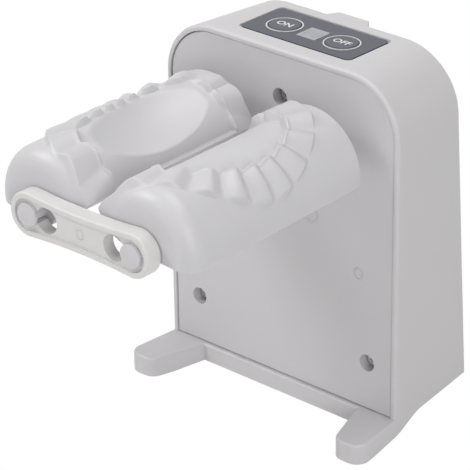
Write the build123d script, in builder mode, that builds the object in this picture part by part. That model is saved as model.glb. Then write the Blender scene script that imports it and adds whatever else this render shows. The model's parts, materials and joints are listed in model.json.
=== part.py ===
from build123d import *
from math import acos, atan2, cos, degrees, pi, radians, sin, sqrt, tan
import os

os.makedirs("parts", exist_ok=True)

# Electric dumpling maker: two half drums on level shafts turn towards each other in front of an
# upright housing and press a folded round of dough shut between them.
# Millimetres. X across, Y from the front to the back, Z up from the table. The origin is on the
# table under the middle of the whole machine. A depth is counted back from the front panel's face.

# Housing
panel_half_width = 62.0
panel_bottom = 10.0
panel_above_axles = 36.85
panel_thickness = 2.6
panel_gap = 0.4
panel_corner_radius = 23.7
panel_edge_round = 0.4
wall = 2.6
rim_proud = 0.6
side_taper = 0.105
top_slope = 0.022
top_depth = 45.2
back_slope = 0.085
back_corner_growth = 0.02
rear_edge_height = 6.7
bar_proud = 2.0
bar_bottom = 1.7
bar_depth = 6.0
side_rise_depth = 22.0
hump_top_half_width = 7.7
hump_base_half_width = 11.5
hump_proud = 5.8
hump_bottom = 90.0
hump_top_drop = 0.4
hump_round = 0.8
rim_round = 1.5
back_edge_radius = 1.6
bar_lead_slope = 0.1
back_margin = 6.0
cut_margin = 1.0
cut_reach = 100.0

# Front feet
foot_reach = 28.5
foot_inner_root = 44.7
foot_inner_tip = 53.0
foot_tip_radius = 6.0
foot_sole_height = 0.6
foot_sole_length = 11.0
foot_edge_radius = 1.0

# Foot pads
pad_radius = 4.0
pad_clearance = 0.1
pad_recess = 1.0
pad_round = 0.3
front_pad_x = 60.5
front_pad_depth = -22.0
rear_foot_x = 42.0
rear_foot_depth = 43.0
rear_foot_radius = 6.0

# Moulds
axle_half_pitch = 28.5
axle_height = 128.0
drum_radius = 25.7
rim_radius = 28.2
rim_base_radius = 26.7
mould_rear = 12.7
mould_length = 104.2
nose_radius = 9.0
rear_round = 1.5
flat_drop = 3.9
middle_drop = 3.0
lip_across = 25.0
lip_rise = 8.0
lip_inner = 24.6
mould_wall = 2.4
core_round = 1.0
hub_radius = 8.0
rear_hub_length = 24.0
front_hub_length = 10.0
end_wall = 6.0
rim_front_margin = 0.6
rim_rear_margin = 0.5
rim_below_lip = 1.5
left_pocket_centre = 61.3
left_pocket_half_length = 36.5
left_pocket_far = 6.5
left_pocket_corner = 15.0
right_pocket_centre = 62.7
right_pocket_half_length = 33.5
right_pocket_start = 8.0
right_pocket_reach = 22.5
bowl_depth = 7.6
bowl_angle = 22.0
bowl_half_length = 32.0
bowl_half_chord = 14.6
bed_radius = 23.8
fan_centre = 63.2
fan_half_length = 50.0
fan_reach = 37.6
fan_flare = 3.7
fan_hub = 12.0
pleat_count = 12
pleat_share = 0.55
pleat_middle = 0.6
pleat_pitch = 19.4
first_pleat = -27.7
cover_thickness = 1.6
cover_clearance = 0.1

# Link plate and the pins it holds
link_gap = 0.6
link_thickness = 7.0
link_floor_drop = 1.2
link_end_radius = 9.8
link_waist = 8.5
link_rim_width = 2.6
link_edge_round = 0.9
pin_radius = 3.5
pin_head_radius = 5.2
pin_head_thickness = 1.9
pin_clearance = 0.08
key_hole_radius = 5.8
key_hole_inset = 9.9
key_neck_width = 5.6

# Drive shafts, couplings and bushes
shaft_radius = 4.0
running_clearance = 0.05
press_clearance = 0.02
shaft_front = 20.0
shaft_tail = 0.6
coupling_radius = 9.0
coupling_gap = 0.4
coupling_reach = 11.6
spigot_apothem = 5.5
spigot_length = 17.0
spigot_clearance = 0.15
socket_depth = 17.0
bush_radius = 6.0
bush_flange_radius = 8.0
bush_flange = 1.0
bearing_boss_radius = 9.0
bearing_boss_depth = 7.0

# Gears
gear_module = 1.0
gear_teeth = 57
pinion_teeth = 16
gear_front = 9.0
gear_face = 8.0
gear_hub_radius = 9.0
gear_hub_rear = 1.6
gear_web = 3.0
gear_rim = 3.5
tooth_share = 0.9
tooth_root = 1.25
pressure_angle = 20.0
pinion_x = -6.0
cam_radius = 8.5
cam_thickness = 2.4
cam_gap = 1.6
cam_lobe = 2.0

# Gearbox plate
plate_front = 19.6
plate_thickness = 3.0
plate_half_width = 58.0
plate_below_axles = 48.0
plate_above_axles = 29.0
plate_corner = 11.0
post_clearance = 0.5
standoff_radius = 3.2
standoff_x = 53.5
standoff_below_axles = 31.0
standoff_above_axles = 22.5

# Gear motor
gearhead_left = 16.0
gearhead_right = 16.0
gearhead_above = 14.0
gearhead_below = 28.0
gearhead_depth = 20.0
gearhead_corner = 3.0
gearhead_collar = 6.0
collar_gap = 0.3
collar_length = 2.0
output_radius = 3.0
output_tip = 8.6
motor_radius = 12.2
motor_length = 38.0
motor_cap_radius = 5.0
motor_cap = 1.5
motor_screw_x = 12.0
motor_screw_up = 9.0
motor_screw_down = 13.0

# Position switch
switch_body_width = 6.4
switch_body_height = 12.8
switch_body_depth = 6.0
switch_gap = 1.6
switch_nose = 1.4

# Screws
screw_radius = 1.5
screw_head_radius = 2.8
screw_head_height = 1.8
small_head_height = 1.2
screw_hole_clearance = 0.2
thread_gap = 0.02
well_radius = 4.0
well_wall = 1.2
well_depth = 7.0
well_floor = 1.5
low_well_x = 48.6
low_well_height = 32.9
high_well_above_axles = 17.5
post_radius = 3.2
post_gap = 0.15
screw_bite = 9.0
screw_end_gap = 1.0
board_screw_bite = 3.0

# Controls on the top
overlay_half_width = 30.0
overlay_front = 9.05
overlay_back = 37.35
overlay_corner = 2.0
overlay_thickness = 0.9
overlay_recess = 1.0
overlay_gap = 1.1
key_x = 15.85
key_depth = 22.3
key_radius = 7.3
key_clearance = 0.25
key_height = 0.5
key_crown = 0.9
key_flange_radius = 8.5
key_flange_thickness = 1.0
key_flange_gap = 0.05
key_travel = 0.6
key_ring_outer = 8.25
key_ring_inner = 7.65
key_ring_height = 0.25
window_half_width = 5.1
window_half_depth = 5.5
window_lip = 1.0
window_proud = 0.1
window_clearance = 0.1
board_drop = 4.2
board_thickness = 1.2
board_half_width = 31.0
board_half_depth = 13.5
board_post_x = 27.2
board_post_radius = 2.4
key_switch_size = 6.2
key_switch_height = 2.2
plunger_radius = 1.75
plunger_clearance = 0.08
plunger_end_gap = 0.4
display_height = 3.7

# Power
battery_radius = 9.2
battery_length = 65.0
battery_gap = 0.1
battery_depth = 26.0
battery_round = 0.6
battery_cap_radius = 3.0
battery_cap = 1.0
battery_rib_x = 22.0
cradle_rise = 1.8
cradle_wall = 3.0
strap_width = 12.0
strap_thickness = 1.6
strap_gap = 0.3
main_board_left = 14.0
main_board_right = 52.0
main_board_bottom = 44.0
main_board_top = 88.0
main_board_depth = 42.0
main_post_inset = 4.0
chip_height = 2.0
chip_size = 10.0
port_x = 33.0
port_height = 62.0
port_half_width = 4.5
port_half_height = 1.65
port_clearance = 0.15
port_inset = 0.5
port_wall = 0.35
port_mouth_depth = 5.0

# Base cover
cover_plate_thickness = 2.2
cover_gap = 0.3
base_boss_radius = 3.6
base_boss_x = 50.5
base_boss_depth = 38.0
base_boss_top = 22.0
boss_tie_length = 4.5
boss_tie_x = 54.5

# Reaches of the whole machine, and where the front panel's face comes to stand
link_rear = mould_rear + mould_length + link_gap
link_front = link_rear + link_thickness
pin_tip = link_front + pin_head_thickness - link_floor_drop
panel_top = axle_height + panel_above_axles
outer_half_width = panel_half_width + panel_gap + wall
outer_top = panel_top + panel_gap + wall
back_reach = top_depth + back_slope * (outer_top - rear_edge_height)
face_y = (pin_tip - back_reach) / 2
corner_radius = panel_corner_radius + panel_gap + wall
far_depth = back_reach + back_margin
gear_radius = gear_module * gear_teeth / 2
pinion_radius = gear_module * pinion_teeth / 2
pitch_sum = gear_radius + pinion_radius
pinion_run = axle_half_pitch + pinion_x
pinion_height = axle_height - sqrt(pitch_sum**2 - pinion_run**2)
plate_back = plate_front + plate_thickness
plate_bottom = axle_height - plate_below_axles
plate_top = axle_height + plate_above_axles
high_well_height = axle_height + high_well_above_axles
screw_seat = well_depth - well_floor
axle_places = [(-axle_half_pitch, axle_height), (axle_half_pitch, axle_height)]
standoff_places = [
    (x, axle_height + z)
    for x in (-standoff_x, standoff_x)
    for z in (-standoff_below_axles, standoff_above_axles)
]
motor_screw_places = [
    (pinion_x + x, pinion_height + z)
    for x in (-motor_screw_x, motor_screw_x)
    for z in (-motor_screw_down, motor_screw_up)
]
cam_front = plate_back + bush_flange + cam_gap
shaft_rear = cam_front + cam_thickness + shaft_tail
rib_base = rear_edge_height + cover_plate_thickness
battery_height = rib_base + cradle_rise + battery_radius


def at_depth(depth):
    """Upright plane at this depth behind the panel's face; its normal points to the front."""
    return Plane.XZ.offset(-(face_y + depth))


def y_at(depth):
    return face_y + depth


def back_depth(height):
    """Depth of the housing's sloping back at this height."""
    return top_depth + back_slope * (outer_top - height)


def finish(part, name):
    part.label = name
    export_step(part, f"parts/{name}.step")


hump_top = outer_top - top_slope * (top_depth + hump_proud) - hump_top_drop


def side_half_width(depth):
    return outer_half_width - side_taper * depth


def arch_sketch(depth, inset, low):
    """Front outline of the housing at one depth: a rectangle with two round top corners."""
    half = side_half_width(depth) - inset
    top = outer_top - top_slope * depth - inset
    radius = corner_radius + back_corner_growth * depth - inset
    with BuildSketch(at_depth(depth)) as arch:
        with BuildLine():
            Polyline((half, top - radius), (half, low), (-half, low), (-half, top - radius))
            JernArc((-half, top - radius), (0, 1), radius, -90)
            Line((-half + radius, top), (half - radius, top))
            JernArc((half - radius, top), (1, 0), radius, -90)
        make_face()
    return arch.sketch


def back_cutter(inset):
    """Everything behind the sloping back, as a prism seen from the side."""
    top_z = outer_top + cut_reach
    low_z = -cut_reach
    top_y = y_at(back_depth(top_z) - inset)
    low_y = y_at(back_depth(low_z) - inset)
    with BuildPart() as cutter:
        with BuildSketch(Plane.YZ):
            with BuildLine():
                Polyline(
                    (top_y, top_z),
                    (top_y + cut_reach, top_z),
                    (low_y + cut_reach, low_z),
                    (low_y, low_z),
                    close=True,
                )
            make_face()
        extrude(amount=2 * outer_half_width, both=True)
    return cutter.part


outer_cut = back_cutter(0)
inner_cut = back_cutter(wall)
overlay_mid = (overlay_front + overlay_back) / 2
overlay_half_depth = (overlay_back - overlay_front) / 2
top_mid_height = outer_top - top_slope * overlay_mid
top_plane = Plane(origin=(0, y_at(overlay_mid), top_mid_height), x_dir=(1, 0, 0), z_dir=(0, top_slope, 1))
key_shift = key_depth - overlay_mid
key_places = [(-key_x, key_shift), (key_x, key_shift)]
board_top_drop = wall + board_drop
board_plane = top_plane.offset(-board_top_drop)
seat_radius = overlay_corner + overlay_gap
board_post_places = [(-board_post_x, 0), (board_post_x, 0)]
post_places = [(-low_well_x, low_well_height), (low_well_x, low_well_height), (0, high_well_height)]
boss_places = [(-base_boss_x, y_at(base_boss_depth)), (base_boss_x, y_at(base_boss_depth))]
main_post_places = [
    (main_board_right - main_post_inset, main_board_bottom + main_post_inset),
    (main_board_left + main_post_inset, main_board_top - main_post_inset),
]
front_pad_places = [(x, y_at(front_pad_depth)) for x in (-front_pad_x, front_pad_x)]
rear_pad_places = [(x, y_at(rear_foot_depth)) for x in (-rear_foot_x, rear_foot_x)]
port_depth = back_depth(port_height)
pilot_radius = screw_radius + thread_gap
hole_radius = screw_radius + screw_hole_clearance


def foot_sketch(side):
    """Plan of one front foot, from under the housing to its round tip."""
    with BuildSketch(Plane.XY.offset(foot_sole_height)) as outline:
        with BuildLine():
            Polyline(
                (side * foot_inner_root, y_at(bar_depth)),
                (side * foot_inner_root, y_at(-bar_proud)),
                (side * foot_inner_tip, y_at(-foot_reach)),
                (side * side_half_width(-foot_reach), y_at(-foot_reach)),
                (side * side_half_width(bar_depth), y_at(bar_depth)),
                close=True,
            )
        make_face()
        fillet(outline.vertices().group_by(Axis.Y)[0], foot_tip_radius)
    return outline.sketch


# Hollow of the housing, open at the front and below
inner_front = arch_sketch(-rim_proud - cut_margin, wall, -wall)
inner_rear = arch_sketch(far_depth, wall, -wall)
with BuildPart() as hollow:
    loft([inner_front, inner_rear], ruled=True)
    add(inner_cut, mode=Mode.SUBTRACT)

# Space under the side walls, whose lower edge rises behind the feet
sole_end = y_at(foot_sole_length - foot_reach)
rise_end = y_at(side_rise_depth)
with BuildPart() as skirt:
    with BuildSketch(Plane.YZ):
        with BuildLine():
            Polyline(
                (rise_end, rear_edge_height),
                (y_at(far_depth), rear_edge_height),
                (y_at(far_depth), -wall),
                (sole_end, -wall),
                (sole_end, foot_sole_height),
                (y_at(0), bar_bottom),
            )
            Spline((y_at(0), bar_bottom), (rise_end, rear_edge_height), tangents=[(1, bar_lead_slope), (1, 0)])
        make_face()
    extrude(amount=2 * outer_half_width, both=True)

# Bar across the front, and the two feet
with BuildPart() as bar:
    with BuildSketch(at_depth(bar_depth)):
        with Locations((0, (bar_bottom + panel_bottom) / 2)):
            Rectangle(2 * (side_half_width(bar_depth) - wall / 2), panel_bottom - bar_bottom)
    extrude(amount=bar_depth + bar_proud)
    bar_edges = bar.edges().filter_by(Axis.X)
    fillet(bar_edges.sort_by(lambda e: e.center().Y - e.center().Z)[0], foot_edge_radius)
with BuildPart() as feet:
    for side in (-1, 1):
        extrude(foot_sketch(side), amount=panel_bottom - foot_sole_height)
    top_edges = feet.edges().group_by(Axis.Z)[-1]
    fillet(top_edges.filter_by(lambda e: e.center().Y < y_at(bar_depth - foot_edge_radius / 2)), foot_edge_radius)

# Housing: sides, top, back and hump, with the front feet and the bar between them
with BuildPart() as housing:
    loft([arch_sketch(-rim_proud, 0, 0), arch_sketch(far_depth, 0, 0)], ruled=True)
    add(outer_cut, mode=Mode.SUBTRACT)
    rear_face = housing.faces().sort_by(Axis.Y)[-1]
    fillet(rear_face.edges().filter_by(lambda e: e.center().Z > rear_edge_height), back_edge_radius)
    front_face = housing.faces().sort_by(Axis.Y)[0]
    fillet(front_face.edges().filter_by(lambda e: e.center().Z > rear_edge_height), rim_round)
    add(hollow.part, mode=Mode.SUBTRACT)
    add(bar.part)
    add(feet.part)
    add(skirt.part, mode=Mode.SUBTRACT)
    # Posts for the panel's screws, standing on the back
    with BuildSketch(at_depth(well_depth + post_gap)):
        with Locations(*post_places):
            Circle(post_radius)
    extrude(amount=well_depth - far_depth)
    with BuildSketch(at_depth(well_depth + post_gap)):
        with Locations(*post_places):
            Circle(pilot_radius)
    extrude(amount=-screw_bite, mode=Mode.SUBTRACT)
    # Seats in the top for the overlay, the two keys and the window
    with BuildSketch(top_plane):
        RectangleRounded(
            2 * (overlay_half_width + overlay_gap),
            2 * (overlay_half_depth + overlay_gap),
            seat_radius,
        )
    extrude(amount=-overlay_recess, mode=Mode.SUBTRACT)
    with BuildSketch(top_plane):
        with Locations(*key_places):
            Circle(key_radius + key_clearance)
        with Locations((0, key_shift)):
            Rectangle(2 * (window_half_width - window_lip), 2 * (window_half_depth - window_lip))
    extrude(amount=-2 * wall, mode=Mode.SUBTRACT)
    # Posts under the top for the control board
    with BuildSketch(top_plane.offset(-board_top_drop)):
        with Locations(*board_post_places):
            Circle(board_post_radius)
    extrude(amount=board_drop + wall / 4)
    with BuildSketch(top_plane.offset(-board_top_drop)):
        with Locations(*board_post_places):
            Circle(pilot_radius)
    extrude(amount=board_screw_bite + screw_end_gap / 2, mode=Mode.SUBTRACT)
    # Posts on the back for the main board
    with BuildSketch(at_depth(main_board_depth + board_thickness)):
        with Locations(*main_post_places):
            Circle(board_post_radius)
    extrude(amount=main_board_depth - far_depth)
    with BuildSketch(at_depth(main_board_depth + board_thickness)):
        with Locations(*main_post_places):
            Circle(pilot_radius)
    extrude(amount=-board_screw_bite - screw_end_gap, mode=Mode.SUBTRACT)
    # Bosses for the base cover's screws, tied to the side walls
    with BuildSketch(Plane.XY.offset(rib_base)):
        with Locations(*boss_places):
            Circle(base_boss_radius)
        with Locations((-boss_tie_x, y_at(base_boss_depth)), (boss_tie_x, y_at(base_boss_depth))):
            Rectangle(2 * boss_tie_length, base_boss_radius)
    extrude(amount=base_boss_top - rib_base)
    with BuildSketch(Plane.XY.offset(rib_base)):
        with Locations(*boss_places):
            Circle(pilot_radius)
    extrude(amount=screw_bite, mode=Mode.SUBTRACT)
    add(outer_cut, mode=Mode.SUBTRACT)
    # Hump that stands upright on the sloping back
    with BuildSketch(Plane.XY.offset(hump_bottom)):
        with BuildLine():
            Polyline(
                (-hump_base_half_width, y_at(top_depth - wall / 2)),
                (-hump_base_half_width, y_at(top_depth)),
                (-hump_top_half_width, y_at(top_depth + hump_proud)),
                (hump_top_half_width, y_at(top_depth + hump_proud)),
                (hump_base_half_width, y_at(top_depth)),
                (hump_base_half_width, y_at(top_depth - wall / 2)),
                close=True,
            )
        make_face()
    extrude(amount=hump_top - hump_bottom)
    hump_rear = housing.edges().filter_by(Axis.X).filter_by(
        lambda e: e.center().Y > y_at(top_depth + hump_proud / 2) and e.center().Z > hump_top - wall
    )
    fillet(hump_rear, hump_round)
    # Mouth of the charging inlet in the back
    with BuildSketch(at_depth(far_depth)):
        with Locations((port_x, port_height)):
            SlotOverall(2 * (port_half_width + port_clearance), 2 * (port_half_height + port_clearance))
    extrude(amount=far_depth - port_depth + 2 * wall, mode=Mode.SUBTRACT)
    # Recesses under the feet for their pads
    with BuildSketch(Plane.XY.offset(foot_sole_height)):
        with Locations(*front_pad_places):
            Circle(pad_radius + pad_clearance)
    extrude(amount=pad_recess, mode=Mode.SUBTRACT)
finish(housing.part, "housing")

# Rubber pads under the front feet and under the rear feet of the base cover
for pad_name, pad_places in (("front_foot_pads", front_pad_places), ("rear_foot_pads", rear_pad_places)):
    with BuildPart() as pads:
        with BuildSketch(Plane.XY):
            with Locations(*pad_places):
                Circle(pad_radius)
        extrude(amount=foot_sole_height + pad_recess)
        fillet(pads.edges().group_by(Axis.Z)[0], pad_round)
    finish(pads.part, pad_name)

# Base cover: closes the housing below, carries the two rear feet and cradles the battery
cover_front = y_at(bar_depth + cover_gap)
cover_back = y_at(back_depth(rib_base) - wall - cover_gap)
cover_front_half = side_half_width(bar_depth) - wall - cover_gap
cover_back_half = side_half_width(back_depth(rib_base)) - wall - cover_gap
with BuildPart() as base_cover:
    with BuildSketch(Plane.XY.offset(rear_edge_height)):
        with BuildLine():
            Polyline(
                (-cover_front_half, cover_front),
                (cover_front_half, cover_front),
                (cover_back_half, cover_back),
                (-cover_back_half, cover_back),
                close=True,
            )
        make_face()
    extrude(amount=cover_plate_thickness)
    with BuildSketch(Plane.XY.offset(foot_sole_height)):
        with Locations(*rear_pad_places):
            Circle(rear_foot_radius)
    extrude(amount=rear_edge_height - foot_sole_height)
    with BuildSketch(Plane.XY.offset(foot_sole_height)):
        with Locations(*rear_pad_places):
            Circle(pad_radius + pad_clearance)
    extrude(amount=pad_recess, mode=Mode.SUBTRACT)
    with BuildSketch(Plane.XY.offset(rear_edge_height)):
        with Locations(*boss_places):
            Circle(hole_radius)
    extrude(amount=cover_plate_thickness, mode=Mode.SUBTRACT)
    for rib_x in (-battery_rib_x, battery_rib_x):
        with BuildSketch(Plane.YZ.offset(rib_x)):
            with Locations((y_at(battery_depth), (rib_base + battery_height) / 2)):
                Rectangle(2 * (battery_radius + cradle_wall), battery_height - rib_base)
        extrude(amount=cradle_wall / 2, both=True)
    with BuildSketch(Plane.YZ):
        with Locations((y_at(battery_depth), battery_height)):
            Circle(battery_radius + battery_gap)
    extrude(amount=battery_length, both=True, mode=Mode.SUBTRACT)
finish(base_cover.part, "base_cover")

# Battery: one round cell lying across the housing
with BuildPart() as battery:
    with BuildSketch(Plane.YZ.offset(-battery_length / 2)):
        with Locations((y_at(battery_depth), battery_height)):
            Circle(battery_radius)
    extrude(amount=battery_length)
    fillet(battery.edges().filter_by(GeomType.CIRCLE), battery_round)
    with BuildSketch(Plane.YZ.offset(battery_length / 2)):
        with Locations((y_at(battery_depth), battery_height)):
            Circle(battery_cap_radius)
    extrude(amount=battery_cap)
finish(battery.part, "battery")

# Battery strap: a band over the cell that stands on the base cover
strap_inner = battery_radius + strap_gap
strap_mid = strap_inner + strap_thickness / 2
with BuildPart() as battery_strap:
    with BuildSketch(Plane.YZ.offset(-strap_width / 2)):
        with Locations((y_at(battery_depth), battery_height)):
            Circle(strap_inner + strap_thickness)
            Circle(strap_inner, mode=Mode.SUBTRACT)
        with Locations((y_at(battery_depth), battery_height - strap_mid)):
            Rectangle(4 * strap_mid, 2 * strap_mid, mode=Mode.SUBTRACT)
        for strap_side in (-1, 1):
            with Locations((y_at(battery_depth + strap_side * strap_mid), (rib_base + battery_height) / 2)):
                Rectangle(strap_thickness, battery_height - rib_base)
    extrude(amount=strap_width)
finish(battery_strap.part, "battery_strap")

# Front panel: let into the rim, with cups for its screws, seats for the bushes and standoffs
panel_arc_start = panel_top - panel_corner_radius
panel_arc_x = panel_half_width - panel_corner_radius
panel_low = panel_bottom + panel_gap
with BuildPart() as front_panel:
    with BuildSketch(at_depth(panel_thickness)):
        with BuildLine():
            Polyline(
                (panel_half_width, panel_arc_start),
                (panel_half_width, panel_low),
                (-panel_half_width, panel_low),
                (-panel_half_width, panel_arc_start),
            )
            JernArc((-panel_half_width, panel_arc_start), (0, 1), panel_corner_radius, -90)
            Line((-panel_arc_x, panel_top), (panel_arc_x, panel_top))
            JernArc((panel_arc_x, panel_top), (1, 0), panel_corner_radius, -90)
        make_face()
    extrude(amount=panel_thickness)
    fillet(front_panel.faces().sort_by(Axis.Y)[0].edges(), panel_edge_round)
    with BuildSketch(at_depth(panel_thickness)):
        with Locations(*post_places):
            Circle(well_radius + well_wall)
    extrude(amount=panel_thickness - well_depth)
    with BuildSketch(at_depth(panel_thickness)):
        with Locations(*axle_places):
            Circle(bearing_boss_radius)
    extrude(amount=panel_thickness - bearing_boss_depth)
    with BuildSketch(at_depth(panel_thickness)):
        with Locations(*standoff_places):
            Circle(standoff_radius)
    extrude(amount=panel_thickness - plate_front)
    with BuildSketch(at_depth(0)):
        with Locations(*post_places):
            Circle(well_radius)
    extrude(amount=-screw_seat, mode=Mode.SUBTRACT)
    with BuildSketch(at_depth(0)):
        with Locations(*post_places):
            Circle(hole_radius)
        with Locations(*axle_places):
            Circle(bush_radius + press_clearance)
    extrude(amount=-bearing_boss_depth, mode=Mode.SUBTRACT)
    with BuildSketch(at_depth(plate_front)):
        with Locations(*standoff_places):
            Circle(pilot_radius)
    extrude(amount=screw_bite, mode=Mode.SUBTRACT)
finish(front_panel.part, "front_panel")


def make_screws(plane, places, head_height, length):
    """Screws with heads that stand on the plane and shanks that run against its normal."""
    with BuildPart() as screws:
        with BuildSketch(plane):
            with Locations(*places):
                Circle(screw_head_radius)
        extrude(amount=head_height)
        fillet(screws.edges().group_by(Axis(plane.origin, plane.z_dir))[-1], head_height / 2)
        with BuildSketch(plane):
            with Locations(*places):
                Circle(screw_radius)
        extrude(amount=-length)
        with BuildSketch(plane.offset(head_height)):
            with Locations(*places):
                Rectangle(screw_head_radius, screw_head_radius / 4)
                Rectangle(screw_head_radius / 4, screw_head_radius)
        extrude(amount=-head_height / 2, mode=Mode.SUBTRACT)
    return screws.part


def behind(depth):
    """Upright plane at this depth whose normal points to the back, with x still to the right."""
    return Plane(origin=(0, y_at(depth), 0), x_dir=(1, 0, 0), z_dir=(0, 1, 0))


def upside(places):
    """The same places on a plane whose second direction points down."""
    return [(x, -z) for x, z in places]


panel_screws = make_screws(
    at_depth(screw_seat), post_places, screw_head_height, well_floor + post_gap + screw_bite - screw_end_gap
)
finish(panel_screws, "panel_screws")

# Bushes that carry the drive shafts, in the panel and in the gearbox plate
for side_name, axle_x in (("left", -axle_half_pitch), ("right", axle_half_pitch)):
    with BuildPart() as front_bush:
        with BuildSketch(at_depth(bearing_boss_depth)):
            with Locations((axle_x, axle_height)):
                Circle(bush_radius)
        extrude(amount=bearing_boss_depth)
        with BuildSketch(at_depth(0)):
            with Locations((axle_x, axle_height)):
                Circle(bush_flange_radius)
        extrude(amount=bush_flange)
        with BuildSketch(at_depth(bearing_boss_depth)):
            with Locations((axle_x, axle_height)):
                Circle(shaft_radius + running_clearance)
        extrude(amount=bearing_boss_depth + bush_flange, mode=Mode.SUBTRACT)
    finish(front_bush.part, f"{side_name}_front_bush")
    with BuildPart() as rear_bush:
        with BuildSketch(at_depth(plate_back)):
            with Locations((axle_x, axle_height)):
                Circle(bush_radius)
        extrude(amount=plate_thickness)
        with BuildSketch(at_depth(plate_back + bush_flange)):
            with Locations((axle_x, axle_height)):
                Circle(bush_flange_radius)
        extrude(amount=bush_flange)
        with BuildSketch(at_depth(plate_back + bush_flange)):
            with Locations((axle_x, axle_height)):
                Circle(shaft_radius + running_clearance)
        extrude(amount=plate_thickness + bush_flange, mode=Mode.SUBTRACT)
    finish(rear_bush.part, f"{side_name}_rear_bush")

# Gearbox plate behind the gears
with BuildPart() as gearbox_plate:
    with BuildSketch(at_depth(plate_back)):
        with Locations((0, (plate_bottom + plate_top) / 2)):
            RectangleRounded(2 * plate_half_width, plate_top - plate_bottom, plate_corner)
        with Locations(*axle_places):
            Circle(bush_radius + press_clearance, mode=Mode.SUBTRACT)
        with Locations(*standoff_places):
            Circle(hole_radius, mode=Mode.SUBTRACT)
        with Locations((pinion_x, pinion_height)):
            Circle(gearhead_collar + collar_gap, mode=Mode.SUBTRACT)
        with Locations(*motor_screw_places):
            Circle(hole_radius, mode=Mode.SUBTRACT)
        with Locations((0, high_well_height)):
            Circle(post_radius + post_clearance, mode=Mode.SUBTRACT)
    extrude(amount=plate_thickness)
finish(gearbox_plate.part, "gearbox_plate")
plate_screw_length = plate_thickness + screw_bite - screw_end_gap
gearbox_screws = make_screws(
    behind(plate_back), upside(standoff_places), screw_head_height, plate_screw_length
)
finish(gearbox_screws, "gearbox_screws")


def tooth_angle(radius, pitch, teeth):
    """Half angle of an involute tooth at this radius, in radians; radial below the base circle."""
    pressure = radians(pressure_angle)
    base = pitch * cos(pressure)
    at_pitch = tan(pressure) - pressure
    reach = acos(min(1.0, base / radius))
    return tooth_share * pi / (2 * teeth) + at_pitch - (tan(reach) - reach)


def gear_points(pitch, teeth, turn):
    """Outline of a spur gear about the origin, with one tooth at the angle turn, in degrees."""
    root = pitch - tooth_root * gear_module
    tip = pitch + gear_module
    radii = (root, pitch - gear_module / 2, pitch, tip)
    points = []
    for tooth in range(teeth):
        middle = radians(turn) + 2 * pi * tooth / teeth
        falling = [(radius, middle - tooth_angle(radius, pitch, teeth)) for radius in radii]
        rising = [(radius, middle + tooth_angle(radius, pitch, teeth)) for radius in reversed(radii)]
        points += [(radius * cos(angle), radius * sin(angle)) for radius, angle in falling + rising]
    return points


# Drive gears on their shafts, with couplings in front for the moulds
for side_name, axle_x in (("left", -axle_half_pitch), ("right", axle_half_pitch)):
    with BuildPart() as drive_gear:
        with BuildSketch(at_depth(gear_front + gear_face)):
            with Locations((axle_x, axle_height)):
                Polygon(*gear_points(gear_radius, gear_teeth, 0), align=None)
        extrude(amount=gear_face)
        for face_depth, cut in ((gear_front, -1), (gear_front + gear_face, 1)):
            with BuildSketch(at_depth(face_depth)):
                with Locations((axle_x, axle_height)):
                    Circle(gear_radius - gear_rim)
                    Circle(gear_hub_radius, mode=Mode.SUBTRACT)
            extrude(amount=cut * (gear_face - gear_web) / 2, mode=Mode.SUBTRACT)
        with BuildSketch(at_depth(gear_front + gear_face + gear_hub_rear)):
            with Locations((axle_x, axle_height)):
                Circle(gear_hub_radius)
        extrude(amount=gear_hub_rear)
        with BuildSketch(at_depth(gear_front + gear_face + gear_hub_rear)):
            with Locations((axle_x, axle_height)):
                Circle(shaft_radius + press_clearance)
        extrude(amount=gear_face + gear_hub_rear, mode=Mode.SUBTRACT)
    finish(drive_gear.part, f"{side_name}_drive_gear")
    with BuildPart() as drive_shaft:
        with BuildSketch(at_depth(shaft_rear)):
            with Locations((axle_x, axle_height)):
                Circle(shaft_radius)
        extrude(amount=shaft_rear + shaft_front)
        chamfer(drive_shaft.edges(), shaft_radius / 10)
    finish(drive_shaft.part, f"{side_name}_drive_shaft")
    with BuildPart() as coupling:
        with BuildSketch(at_depth(-bush_flange - coupling_gap)):
            with Locations((axle_x, axle_height)):
                Circle(coupling_radius)
        extrude(amount=coupling_reach - bush_flange - coupling_gap)
        with BuildSketch(at_depth(-coupling_reach)):
            with Locations((axle_x, axle_height)):
                RegularPolygon(spigot_apothem, 6, major_radius=False)
        extrude(amount=spigot_length)
        chamfer(coupling.faces().sort_by(Axis.Y)[0].edges(), spigot_apothem / 10)
        with BuildSketch(at_depth(-bush_flange - coupling_gap)):
            with Locations((axle_x, axle_height)):
                Circle(shaft_radius + press_clearance)
        extrude(amount=shaft_front + press_clearance - bush_flange - coupling_gap, mode=Mode.SUBTRACT)
    finish(coupling.part, f"{side_name}_coupling")

# Home cam on the left shaft, with one lobe, and a plain collar on the right one
with BuildPart() as home_cam:
    with BuildSketch(at_depth(cam_front + cam_thickness)):
        with Locations((-axle_half_pitch, axle_height)):
            Circle(cam_radius - cam_lobe)
            Circle(shaft_radius + press_clearance, mode=Mode.SUBTRACT)
        with Locations((-axle_half_pitch - cam_radius + cam_lobe, axle_height)):
            Circle(cam_lobe)
    extrude(amount=cam_thickness)
finish(home_cam.part, "home_cam")
with BuildPart() as shaft_collar:
    with BuildSketch(at_depth(cam_front + cam_thickness)):
        with Locations((axle_half_pitch, axle_height)):
            Circle(cam_radius - cam_lobe)
            Circle(shaft_radius + press_clearance, mode=Mode.SUBTRACT)
    extrude(amount=cam_thickness)
finish(shaft_collar.part, "shaft_collar")

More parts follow.
